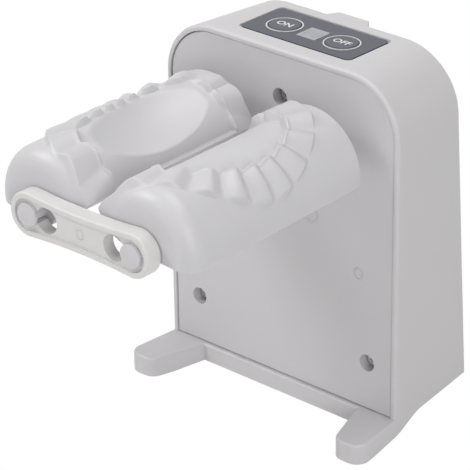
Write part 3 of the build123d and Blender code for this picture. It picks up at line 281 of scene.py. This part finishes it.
def plain_drum(y):
    """Radius of the plain drum, which is rounded down to a flat front."""
    gap = np.clip(y - FRONT_END, 0, NOSE_RADIUS)
    return DRUM_RADIUS - NOSE_RADIUS + np.sqrt(np.maximum(NOSE_RADIUS**2 - (NOSE_RADIUS - gap) ** 2, 0))


def bowl_floor(y, theta):
    """Radius of the left pocket's floor: the plain drum with a round bowl sunk into it."""
    along = np.clip(y - BOWL_Y, -BOWL_HALF, BOWL_HALF)
    arc = bend_radius(BOWL_HALF, DRUM_RADIUS - BOWL_LOW)
    low = BOWL_LOW + arc - np.sqrt(np.maximum(arc**2 - along**2, 0))
    edge = math.sqrt(DRUM_RADIUS**2 - BOWL_CHORD**2)
    centre = BOWL_LOW + bend_radius(BOWL_CHORD, edge - BOWL_LOW)
    tilt = theta - BOWL_TURN
    inside = np.maximum((centre - low) ** 2 - (centre * np.sin(tilt)) ** 2, 0)
    bowl = np.where(np.abs(tilt) < BOWL_SPAN, centre * np.cos(tilt) - np.sqrt(inside), NO_BOWL)
    return smooth_min(bowl, DRUM_RADIUS + 0 * theta, BOWL_BLEND)


def mould_face(y, theta, floor, pocket, first_pleat, wave, wall, bead_height):
    """Radius of a mould's face: the pleated rim round its pocket, laid on the plain drum."""
    u = ACROSS_RADIUS * np.sin(theta)
    tooth = pleat(fan_phase(u, y, first_pleat))
    within = inside_pocket(u, y, **pocket) + wave * (0.5 - tooth)
    opened = ease(POCKET_EDGE, wall, within)
    lip = ease(LIP_TURN, LIP_FADE, theta)
    inner = floor * (1 - lip) + (RIM_RADIUS - LIP_STEP) * lip
    bead = bead_height * np.exp(-(((within + BEAD_GAP) / BEAD_WIDTH) ** 2)) * (1 - lip)
    band = PLEAT_LOW + PLEAT_HEIGHT * tooth
    top = (band + bead) * (1 - opened) + inner * opened
    plain = plain_drum(y)
    lean = WALL_WIDTH + WALL_LEAN * np.maximum(top - plain, 0)
    stands = ease(lean / 2 - WALL_MARGIN, lean, inside_fan(u, y)) * ease(0.0, RIM_FADE, RIM_REAR - y)
    return plain * (1 - stands) + top * stands


def left_face(y, theta):
    return mould_face(y, theta, bowl_floor(y, theta), LEFT_POCKET, **LEFT_EDGE)


def right_face(y, theta):
    return mould_face(y, theta, BED_RADIUS, RIGHT_POCKET, **RIGHT_EDGE)


def under_height(u):
    """Height of the mould's underside above the shaft's axis, at u across towards the lip."""
    bend = bend_radius(LIP_ACROSS, LIP_RISE - UNDER_MIDDLE)
    flat = np.interp(u, [-DRUM_RADIUS, 0.0], [-FAR_DROP, UNDER_MIDDLE])
    arc = UNDER_MIDDLE + bend - np.sqrt(np.maximum(bend**2 - np.clip(u, 0, LIP_ACROSS) ** 2, 0))
    return np.where(u <= 0, flat, arc + np.maximum(u - LIP_ACROSS, 0))


def end_cap(y):
    """Largest radius allowed at y, which rounds the rim's edges at both ends."""
    front_gap = FRONT_ROUND - min(y - FRONT_END, FRONT_ROUND)
    rear_gap = REAR_ROUND - min(REAR_END - y, REAR_ROUND)
    front = FRONT_ROUND - math.sqrt(max(FRONT_ROUND**2 - front_gap**2, 0))
    rear = REAR_ROUND - math.sqrt(max(REAR_ROUND**2 - rear_gap**2, 0))
    return RIM_RADIUS - max(front, rear)


def half_drum(side, face_at):
    """Closed mesh of one half drum: an outer skin, an underside and two ends."""
    rows = FRONT_END + np.concatenate([FRONT_ROWS, NOSE_ROWS, DRUM_ROWS, REAR_ROWS])
    under_radius = np.hypot(UNDER_TABLE, under_height(UNDER_TABLE))
    ring = SKIN_POINTS + UNDER_POINTS
    points = []
    for y in rows:
        cap = end_cap(y)
        start, end = START_GUESS, END_GUESS
        # The skin starts and ends where it meets the underside, found in three steps.
        for _ in range(3):
            end_radius = min(float(face_at(np.array([y]), np.array([end]))[0]), cap)
            end_u = float(np.interp(end_radius, under_radius, UNDER_TABLE))
            end = math.atan2(end_u, float(under_height(np.array([end_u]))[0]))
            start_radius = min(float(face_at(np.array([y]), np.array([start]))[0]), cap)
            start = -math.acos(max(-FAR_DROP / start_radius, -1))
        theta = np.linspace(start, end, SKIN_POINTS)
        radius = np.minimum(face_at(np.full(SKIN_POINTS, y), theta), cap)
        skin_u = radius * np.sin(theta)
        skin_z = radius * np.cos(theta)
        low_u = np.linspace(skin_u[-1], skin_u[0], UNDER_POINTS + 2)[1:-1]
        low_z = under_height(low_u)
        along_cover = (y > FRONT_END + COVER_FRONT) & (y < REAR_END - COVER_REAR)
        low_z = low_z + COVER_STEP * (along_cover & (np.hypot(low_u, low_z) < COVER_REACH))
        for u, z in zip(np.concatenate([skin_u, low_u]), np.concatenate([skin_z, low_z])):
            points.append((side * (AXLE_X - u * MM), FACE + y * MM, AXLE_Z + z * MM))
    faces = []
    for i in range(len(rows) - 1):
        for k in range(ring):
            j = (k + 1) % ring
            faces.append((i * ring + k, i * ring + j, (i + 1) * ring + j, (i + 1) * ring + k))
    for base in (0, (len(rows) - 1) * ring):
        centre = len(points)
        points.append((side * AXLE_X, points[base][1], AXLE_Z))
        for k in range(ring):
            faces.append((base + k, base + (k + 1) % ring, centre))
    return points, faces


def turned(profile, side, steps=64):
    """Closed mesh of a profile of radius and place along the shaft, turned round a mould's axis."""
    points, faces = [], []
    for radius, y in profile:
        for k in range(steps):
            a = 2 * math.pi * k / steps
            x = side * AXLE_X + radius * MM * math.cos(a)
            points.append((x, FACE + y * MM, AXLE_Z + radius * MM * math.sin(a)))
    last = (len(profile) - 1) * steps
    for i in range(0, last, steps):
        for k in range(steps):
            j = (k + 1) % steps
            faces.append((i + k, i + j, i + steps + j, i + steps + k))
    faces.append(tuple(range(steps)))
    faces.append(tuple(range(last, last + steps)))
    return points, faces


def joined(*parts):
    """Points and faces of several meshes as one."""
    points, faces = [], []
    for more_points, more_faces in parts:
        shift = len(points)
        points += list(more_points)
        faces += [tuple(i + shift for i in face) for face in more_faces]
    return points, faces


def make_piece(name, points, faces, material, body, sharp):
    """Smooth piece from points in metres, with its edges over the sharp angle kept."""
    mesh = bpy.data.meshes.new(name)
    mesh.from_pydata(points, [], faces)
    mesh.validate()
    worked = bmesh.new()
    worked.from_mesh(mesh)
    bmesh.ops.remove_doubles(worked, verts=worked.verts, dist=MERGE_DISTANCE)
    bmesh.ops.recalc_face_normals(worked, faces=worked.faces)
    worked.to_mesh(mesh)
    worked.free()
    mesh.shade_smooth()
    mesh.set_sharp_from_angle(angle=math.radians(sharp))
    mesh.materials.append(material)
    piece = bpy.data.objects.new(name, mesh)
    scene.collection.objects.link(piece)
    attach(piece, body)
    return piece


mould_plastic = moulded("mould_plastic", MOULD_GREY, roughness=0.40, mottle=0.012, grain=0.004)
mould_shader = mould_plastic.node_tree.nodes["Principled BSDF"]
mould_shader.inputs["Subsurface Weight"].default_value = SOFT_SHARE
mould_shader.inputs["Subsurface Radius"].default_value = SOFT_COLOUR
mould_shader.inputs["Subsurface Scale"].default_value = SOFT_DEPTH
for mould, side, face_at in (("left_mould", -1, left_face), ("right_mould", 1, right_face)):
    turned_parts = [turned(profile, side) for profile in (REAR_HUB, FRONT_HUB, PIN_NECK, PIN_HEAD)]
    points, faces = joined(half_drum(side, face_at), *turned_parts)
    body_piece = make_piece(f"{mould}_body", points, faces, mould_plastic, mould, SHARP_EDGE)
    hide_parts(mould)
paint(moulded("cover_plastic", COVER_GREY, roughness=0.45), "left_mould_cover", "right_mould_cover")

# Link plate: a dog bone of slightly warmer grey plastic, moulded with a raised rim. Its keyholes go
# over the heads of the moulds' pins and then hold the necks. An ejector pin left a ring in it.
LINK_GREY = (0.665, 0.650, 0.645)
link_plastic = moulded("link_plastic", LINK_GREY, roughness=0.45, mottle=0.02)
link_marks = [{"centre": (0, 0, AXLE_Z), "radius": 0.0019, "width": 0.0011}]
add_ejector_marks(link_plastic, link_marks, FLAT_ALONG_Y)
paint(link_plastic, "link_plate")

# Couplings: hexagonal drivers of the same plastic as the shell, pressed on the front ends of the
# steel shafts. The moulds' hubs slide over them.
COUPLING_GREY = (0.57, 0.56, 0.57)
paint(moulded("coupling_plastic", COUPLING_GREY, roughness=0.5), "left_coupling", "right_coupling")

# Control overlay: a plate of slate grey plastic, glued into a recess in the top. It has a raised
# ring round the hole of each key, and the rings are printed pale.
SLATE = (0.068, 0.074, 0.094)
PRINT = (0.66, 0.67, 0.69)
PRINTED_RING = {"radius": 0.00795, "width": 0.0009}
FLAT_ALONG_Z = 2
KEY_X, KEY_Y = 0.01585, FACE + 0.0223


def colour_socket(sockets, name):
    """The colour socket of this name, on a node that has sockets of several kinds."""
    return next(socket for socket in sockets if socket.name == name and socket.type == "RGBA")


overlay_plastic = moulded("overlay_plastic", SLATE, roughness=0.46, mottle=0.08)
overlay_tree = overlay_plastic.node_tree
overlay_base = overlay_tree.nodes["Principled BSDF"].inputs["Base Color"]
overlay_colour = overlay_base.links[0].from_socket
for key_side in (-1, 1):
    ring = ring_weight(overlay_tree, (key_side * KEY_X, KEY_Y, 0), FLAT_ALONG_Z, **PRINTED_RING)
    printed = add_node(overlay_tree, "ShaderNodeMix", data_type="RGBA")
    overlay_tree.links.new(ring, printed.inputs["Factor"])
    overlay_tree.links.new(overlay_colour, colour_socket(printed.inputs, "A"))
    colour_socket(printed.inputs, "B").default_value = (*PRINT, 1)
    overlay_colour = colour_socket(printed.outputs, "Result")
overlay_tree.links.new(overlay_colour, overlay_base)
paint(overlay_plastic, "control_overlay")

# Keys: round caps of slate plastic, moulded with a flange that keeps them under the overlay, on
# black plungers over the switches. A plain white word is printed on each crown.
KEY_SLATE = (0.056, 0.060, 0.078)
PLUNGER_BLACK = (0.02, 0.02, 0.02)
INK_WHITE = (0.74, 0.75, 0.77)
INK_HEIGHT = 0.00003
WORD_SIZE, WORD_WEIGHT, WORD_SHARP = 0.0052, 0.00009, 38
KEY_TOP = 0.16776
press_axis = joints["start_key_press"]["axis"]
TOP_SLOPE = press_axis[1] / press_axis[2]
paint(moulded("key_plastic", KEY_SLATE, roughness=0.34), "start_key", "stop_key")
paint(moulded("post_plastic", PLUNGER_BLACK, roughness=0.5), "start_key_plunger", "stop_key_plunger")
print_ink = moulded("print_ink", INK_WHITE, roughness=0.5, mottle=0.05)
for word, key_side, key in (("ON", -1, "start_key"), ("OFF", 1, "stop_key")):
    text = bpy.data.curves.new(f"{key}_word", "FONT")
    text.body = word
    text.size = WORD_SIZE
    text.offset = WORD_WEIGHT
    text.align_x = "CENTER"
    text.align_y = "CENTER"
    writing = bpy.data.objects.new(f"{key}_writing", text)
    scene.collection.objects.link(writing)
    shown = writing.evaluated_get(bpy.context.evaluated_depsgraph_get())
    flat = bpy.data.meshes.new_from_object(shown)
    bpy.data.objects.remove(writing)
    points = []
    for vertex in flat.vertices:
        x = key_side * KEY_X + vertex.co.x
        z = KEY_TOP + INK_HEIGHT - TOP_SLOPE * vertex.co.y
        points.append((x, KEY_Y + vertex.co.y, z))
    faces = [tuple(polygon.vertices) for polygon in flat.polygons]
    make_piece(f"{key}_word", points, faces, print_ink, key, WORD_SHARP)

# Display: two seven segment digits cast in black resin on the control board, under a window of
# pale smoked plastic that is glued into the overlay. The bars are unlit.
WINDOW_GREY = (0.36, 0.37, 0.40)
RESIN_BLACK = (0.01, 0.01, 0.012)
BAR_GREY = (0.22, 0.23, 0.26)
HALF_DIGIT, DIGIT_X, BAR_HEIGHT = 0.0014, 0.0023, 0.16738
BAR_LENGTH, BAR_WIDTH, BAR_CORNERS = 1.7 * HALF_DIGIT, 0.0005, 6


def digit_bar_tree():
    """Geometry nodes that set one long hexagon on each point, turned by the point's own angle."""
    tree = bpy.data.node_groups.new("digit_bars", "GeometryNodeTree")
    face = tree.interface
    face.new_socket("Geometry", in_out="INPUT", socket_type="NodeSocketGeometry")
    face.new_socket("Bar length", in_out="INPUT", socket_type="NodeSocketFloat")
    face.new_socket("Bar width", in_out="INPUT", socket_type="NodeSocketFloat")
    face.new_socket("Ink", in_out="INPUT", socket_type="NodeSocketMaterial")
    face.new_socket("Geometry", in_out="OUTPUT", socket_type="NodeSocketGeometry")
    given = tree.nodes.new("NodeGroupInput")
    made = tree.nodes.new("NodeGroupOutput")
    bar = add_node(tree, "GeometryNodeMeshCircle", Vertices=BAR_CORNERS, Radius=0.5)
    bar.fill_type = "NGON"
    stretch = tree.nodes.new("ShaderNodeCombineXYZ")
    stretch.inputs["Z"].default_value = 1.0
    shaped = tree.nodes.new("GeometryNodeTransform")
    turn = add_node(tree, "GeometryNodeInputNamedAttribute", data_type="FLOAT")
    turn.inputs["Name"].default_value = "turn"
    rotation = tree.nodes.new("ShaderNodeCombineXYZ")
    placed = tree.nodes.new("GeometryNodeInstanceOnPoints")
    real = tree.nodes.new("GeometryNodeRealizeInstances")
    inked = tree.nodes.new("GeometryNodeSetMaterial")
    tree.links.new(given.outputs["Bar length"], stretch.inputs["X"])
    tree.links.new(given.outputs["Bar width"], stretch.inputs["Y"])
    tree.links.new(bar.outputs["Mesh"], shaped.inputs["Geometry"])
    tree.links.new(stretch.outputs["Vector"], shaped.inputs["Scale"])
    tree.links.new(turn.outputs["Attribute"], rotation.inputs["Z"])
    tree.links.new(given.outputs["Geometry"], placed.inputs["Points"])
    tree.links.new(shaped.outputs["Geometry"], placed.inputs["Instance"])
    tree.links.new(rotation.outputs["Vector"], placed.inputs["Rotation"])
    tree.links.new(placed.outputs["Instances"], real.inputs["Geometry"])
    tree.links.new(real.outputs["Geometry"], inked.inputs["Geometry"])
    tree.links.new(given.outputs["Ink"], inked.inputs["Material"])
    tree.links.new(inked.outputs["Geometry"], made.inputs["Geometry"])
    return tree


paint(moulded("window_plastic", WINDOW_GREY, roughness=0.22), "display_window")
paint(moulded("display_resin", RESIN_BLACK, roughness=0.3), "digit_display")
bar_ink = moulded("display_bar_ink", BAR_GREY, roughness=0.4)
bar_points, bar_turns = [], []
for digit_side in (-1, 1):
    level = [(0, k * 2 * HALF_DIGIT, 0.0) for k in (-1, 0, 1)]
    upright = [(i * HALF_DIGIT, k * HALF_DIGIT, math.pi / 2) for i in (-1, 1) for k in (-1, 1)]
    for x, y, turn in level + upright:
        bar_points.append((digit_side * DIGIT_X + x, KEY_Y + y, BAR_HEIGHT - TOP_SLOPE * y))
        bar_turns.append(turn)
bar_mesh = bpy.data.meshes.new("digit_points")
bar_mesh.from_pydata(bar_points, [], [])
bar_mesh.attributes.new("turn", "FLOAT", "POINT").data.foreach_set("value", bar_turns)
bar_maker = bpy.data.objects.new("digit_points", bar_mesh)
scene.collection.objects.link(bar_maker)
bar_modifier = bar_maker.modifiers.new("bars", "NODES")
bar_modifier.node_group = digit_bar_tree()
bar_values = {"Bar length": BAR_LENGTH, "Bar width": BAR_WIDTH, "Ink": bar_ink}
for socket in bar_modifier.node_group.interface.items_tree:
    if socket.in_out == "INPUT" and socket.name in bar_values:
        bar_modifier[socket.identifier] = bar_values[socket.name]
bars_shown = bar_maker.evaluated_get(bpy.context.evaluated_depsgraph_get())
digits = bpy.data.objects.new("display_digits", bpy.data.meshes.new_from_object(bars_shown))
bpy.data.objects.remove(bar_maker)
scene.collection.objects.link(digits)
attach(digits, "base")

# Steel parts: the turned shafts, the pinion that the motor drives, all the screws, and the pressed
# shell of the charging inlet. All are plated against rust.
STEEL_GREY = (0.60, 0.60, 0.62)
STREAK_SCALE = 900.0
STREAK_LOW, STREAK_HIGH = 0.08, 0.10
HELD_BY_SCREWS = ["panel", "base_cover", "gearbox", "motor", "control_board", "main_board"]
SCREWS = [f"{held}_screws" for held in HELD_BY_SCREWS]
SHAFTS = ["left_drive_shaft", "right_drive_shaft", "output_shaft"]


def metal(name, colour, roughness, streak=(1, 1, 1)):
    """Bare metal with a faint drawn or turned streak in its gloss."""
    made, tree, shader = new_material(name, colour, roughness, metallic=1.0)
    noise = object_noise(tree, STREAK_SCALE, detail=2.0, stretch=streak)
    gloss = spread_over(tree, noise, roughness - STREAK_LOW, roughness + STREAK_HIGH)
    tree.links.new(gloss, shader.inputs["Roughness"])
    return made


steel = metal("plated_steel", STEEL_GREY, roughness=0.35, streak=(1, 30, 1))
paint(steel, *SCREWS, *SHAFTS, "drive_pinion", "charging_inlet")

# Bushes: sintered bronze rings, pressed into the front panel and the gearbox plate. The shafts
# run in them.
BRONZE = (0.62, 0.42, 0.20)
BUSHES = [f"{side_name}_{place}_bush" for side_name in ("left", "right") for place in ("front", "rear")]
paint(metal("bush_bronze", BRONZE, roughness=0.45), *BUSHES)

# Gears, cam and collar: moulded in white plastic and pressed on the shafts. The cam tells the
# position switch where the moulds stand.
GEAR_WHITE = (0.78, 0.77, 0.72)
gear_plastic = moulded("gear_plastic", GEAR_WHITE, roughness=0.4)
paint(gear_plastic, "left_drive_gear", "right_drive_gear", "home_cam", "shaft_collar")

# Gearbox plate and motor: a plate of galvanised sheet holds the rear bushes and the gearhead, which
# has a cast zinc case with the drawn steel can of the motor hanging below it.
PLATE_ZINC, CASE_ZINC, CAN_STEEL = (0.55, 0.56, 0.58), (0.36, 0.37, 0.39), (0.62, 0.62, 0.64)
paint(metal("plate_zinc", PLATE_ZINC, roughness=0.45, streak=(30, 1, 1)), "gearbox_plate")
paint(metal("gearhead_zinc", CASE_ZINC, roughness=0.55), "gearhead")
paint(metal("motor_can", CAN_STEEL, roughness=0.3, streak=(1, 1, 30)), "motor")

# Switches and boards: small black switches, one under each key and one beside the cam, and two
# boards of green glass laminate that are screwed to posts inside the housing.
SWITCH_BLACK, BOARD_GREEN = (0.02, 0.02, 0.022), (0.02, 0.11, 0.05)
switch_plastic = moulded("switch_plastic", SWITCH_BLACK, roughness=0.45)
paint(switch_plastic, "position_switch", "start_switch", "stop_switch")
paint(moulded("board_mask", BOARD_GREEN, roughness=0.3, mottle=0.2), "control_board", "main_board")

# Battery: one cell in a shrunk blue sleeve, which lies in the base cover's cradle under a black
# plastic strap.
SLEEVE_BLUE, STRAP_BLACK = (0.05, 0.16, 0.40), (0.05, 0.05, 0.052)
paint(moulded("cell_sleeve", SLEEVE_BLUE, roughness=0.25), "battery")
paint(moulded("strap_plastic", STRAP_BLACK, roughness=0.5), "battery_strap")

# Studio: a pale floor and a plain world, which the camera and reflections see as white, and three
# large soft lamps: a key lamp at the left, one above and one at the right.
WHITE = (1, 1, 1, 1)
FLOOR_HALF, FLOOR_GREY = 3.0, (0.86, 0.86, 0.86)
WORLD_STRENGTH = 0.33


def seen_as_white(tree):
    """Socket that is 1 for rays from the camera, a reflection or a view through glass."""
    path = tree.nodes.new("ShaderNodeLightPath")
    seen = path.outputs["Is Camera Ray"]
    for ray in ("Is Glossy Ray", "Is Transmission Ray"):
        either = add_node(tree, "ShaderNodeMath", operation="MAXIMUM")
        tree.links.new(seen, either.inputs[0])
        tree.links.new(path.outputs[ray], either.inputs[1])
        seen = either.outputs[0]
    return seen


def show_white(tree, lit, white, output):
    """Send the white shader to the output where it is seen, and the lit one elsewhere."""
    mixed = tree.nodes.new("ShaderNodeMixShader")
    tree.links.new(seen_as_white(tree), mixed.inputs[0])
    tree.links.new(lit.outputs[0], mixed.inputs[1])
    tree.links.new(white.outputs[0], mixed.inputs[2])
    tree.links.new(mixed.outputs[0], tree.nodes[output].inputs["Surface"])


def add_lamp(name, place, aim, size, power):
    light = bpy.data.lights.new(name, "AREA")
    light.size = size
    light.energy = power
    lamp = bpy.data.objects.new(name, light)
    lamp.location = place
    lamp.rotation_euler = (Vector(aim) - Vector(place)).to_track_quat("-Z", "Y").to_euler()
    scene.collection.objects.link(lamp)


floor_mesh = bpy.data.meshes.new("floor")
floor_corners = [(i * FLOOR_HALF, k * FLOOR_HALF, 0) for i, k in ((-1, -1), (1, -1), (1, 1), (-1, 1))]
floor_mesh.from_pydata(floor_corners, [], [(0, 1, 2, 3)])
floor_paint, floor_tree, floor_shader = new_material("floor_paint", FLOOR_GREY, roughness=0.9)
floor_white = add_node(floor_tree, "ShaderNodeEmission", Color=WHITE, Strength=1.0)
show_white(floor_tree, floor_shader, floor_white, "Material Output")
floor_mesh.materials.append(floor_paint)
floor = bpy.data.objects.new("floor", floor_mesh)
scene.collection.objects.link(floor)
world = bpy.data.worlds.new("studio")
scene.world = world
world.use_nodes = True
world_light = world.node_tree.nodes["Background"]
world_light.inputs["Color"].default_value = WHITE
world_light.inputs["Strength"].default_value = WORLD_STRENGTH
world_white = add_node(world.node_tree, "ShaderNodeBackground", Color=WHITE, Strength=1.0)
show_white(world.node_tree, world_light, world_white, "World Output")
add_lamp("key_lamp", place=(-0.9, -0.8, 1.1), aim=(0, 0, 0.08), size=0.6, power=9.6)
add_lamp("top_lamp", place=(0.1, 0.1, 1.3), aim=(0, 0, 0.1), size=0.8, power=6.2)
add_lamp("side_lamp", place=(1.1, -0.74, 0.45), aim=(0, 0, 0.08), size=0.6, power=6.0)

# Camera: it stands where the photograph's did and has its lens, both found from the edges of the
# panel, the top and the feet. Lengths are in metres, and the lens and its centre in pixels.
AZIMUTH, ELEVATION, ROLL = math.radians(41.047), math.radians(26.661), math.radians(-0.662)
TARGET = Vector((-0.009438, FACE - 0.008213, 0.0843))
DISTANCE = 1.16172
PICTURE_SIDE = 470
LENS_PIXELS = 2662.7
CENTRE_ACROSS, CENTRE_DOWN = 251.95, 225.58
SENSOR = 36.0
level_reach = math.cos(ELEVATION)
back = Vector((math.sin(AZIMUTH) * level_reach, -math.cos(AZIMUTH) * level_reach, math.sin(ELEVATION)))
level_right = Vector((math.cos(AZIMUTH), math.sin(AZIMUTH), 0))
level_up = back.cross(level_right)
right = level_right * math.cos(ROLL) + level_up * math.sin(ROLL)
up = level_up * math.cos(ROLL) - level_right * math.sin(ROLL)
lens = bpy.data.cameras.new("camera")
lens.sensor_width = SENSOR
lens.lens = LENS_PIXELS / PICTURE_SIDE * SENSOR
lens.shift_x = (PICTURE_SIDE / 2 - CENTRE_ACROSS) / PICTURE_SIDE
lens.shift_y = (CENTRE_DOWN - PICTURE_SIDE / 2) / PICTURE_SIDE
lens.clip_start, lens.clip_end = 0.05, 20.0
camera = bpy.data.objects.new("camera", lens)
turned_to_view = Matrix((right, up, back)).transposed().to_4x4()
camera.matrix_world = Matrix.Translation(TARGET + DISTANCE * back) @ turned_to_view
scene.collection.objects.link(camera)
scene.camera = camera
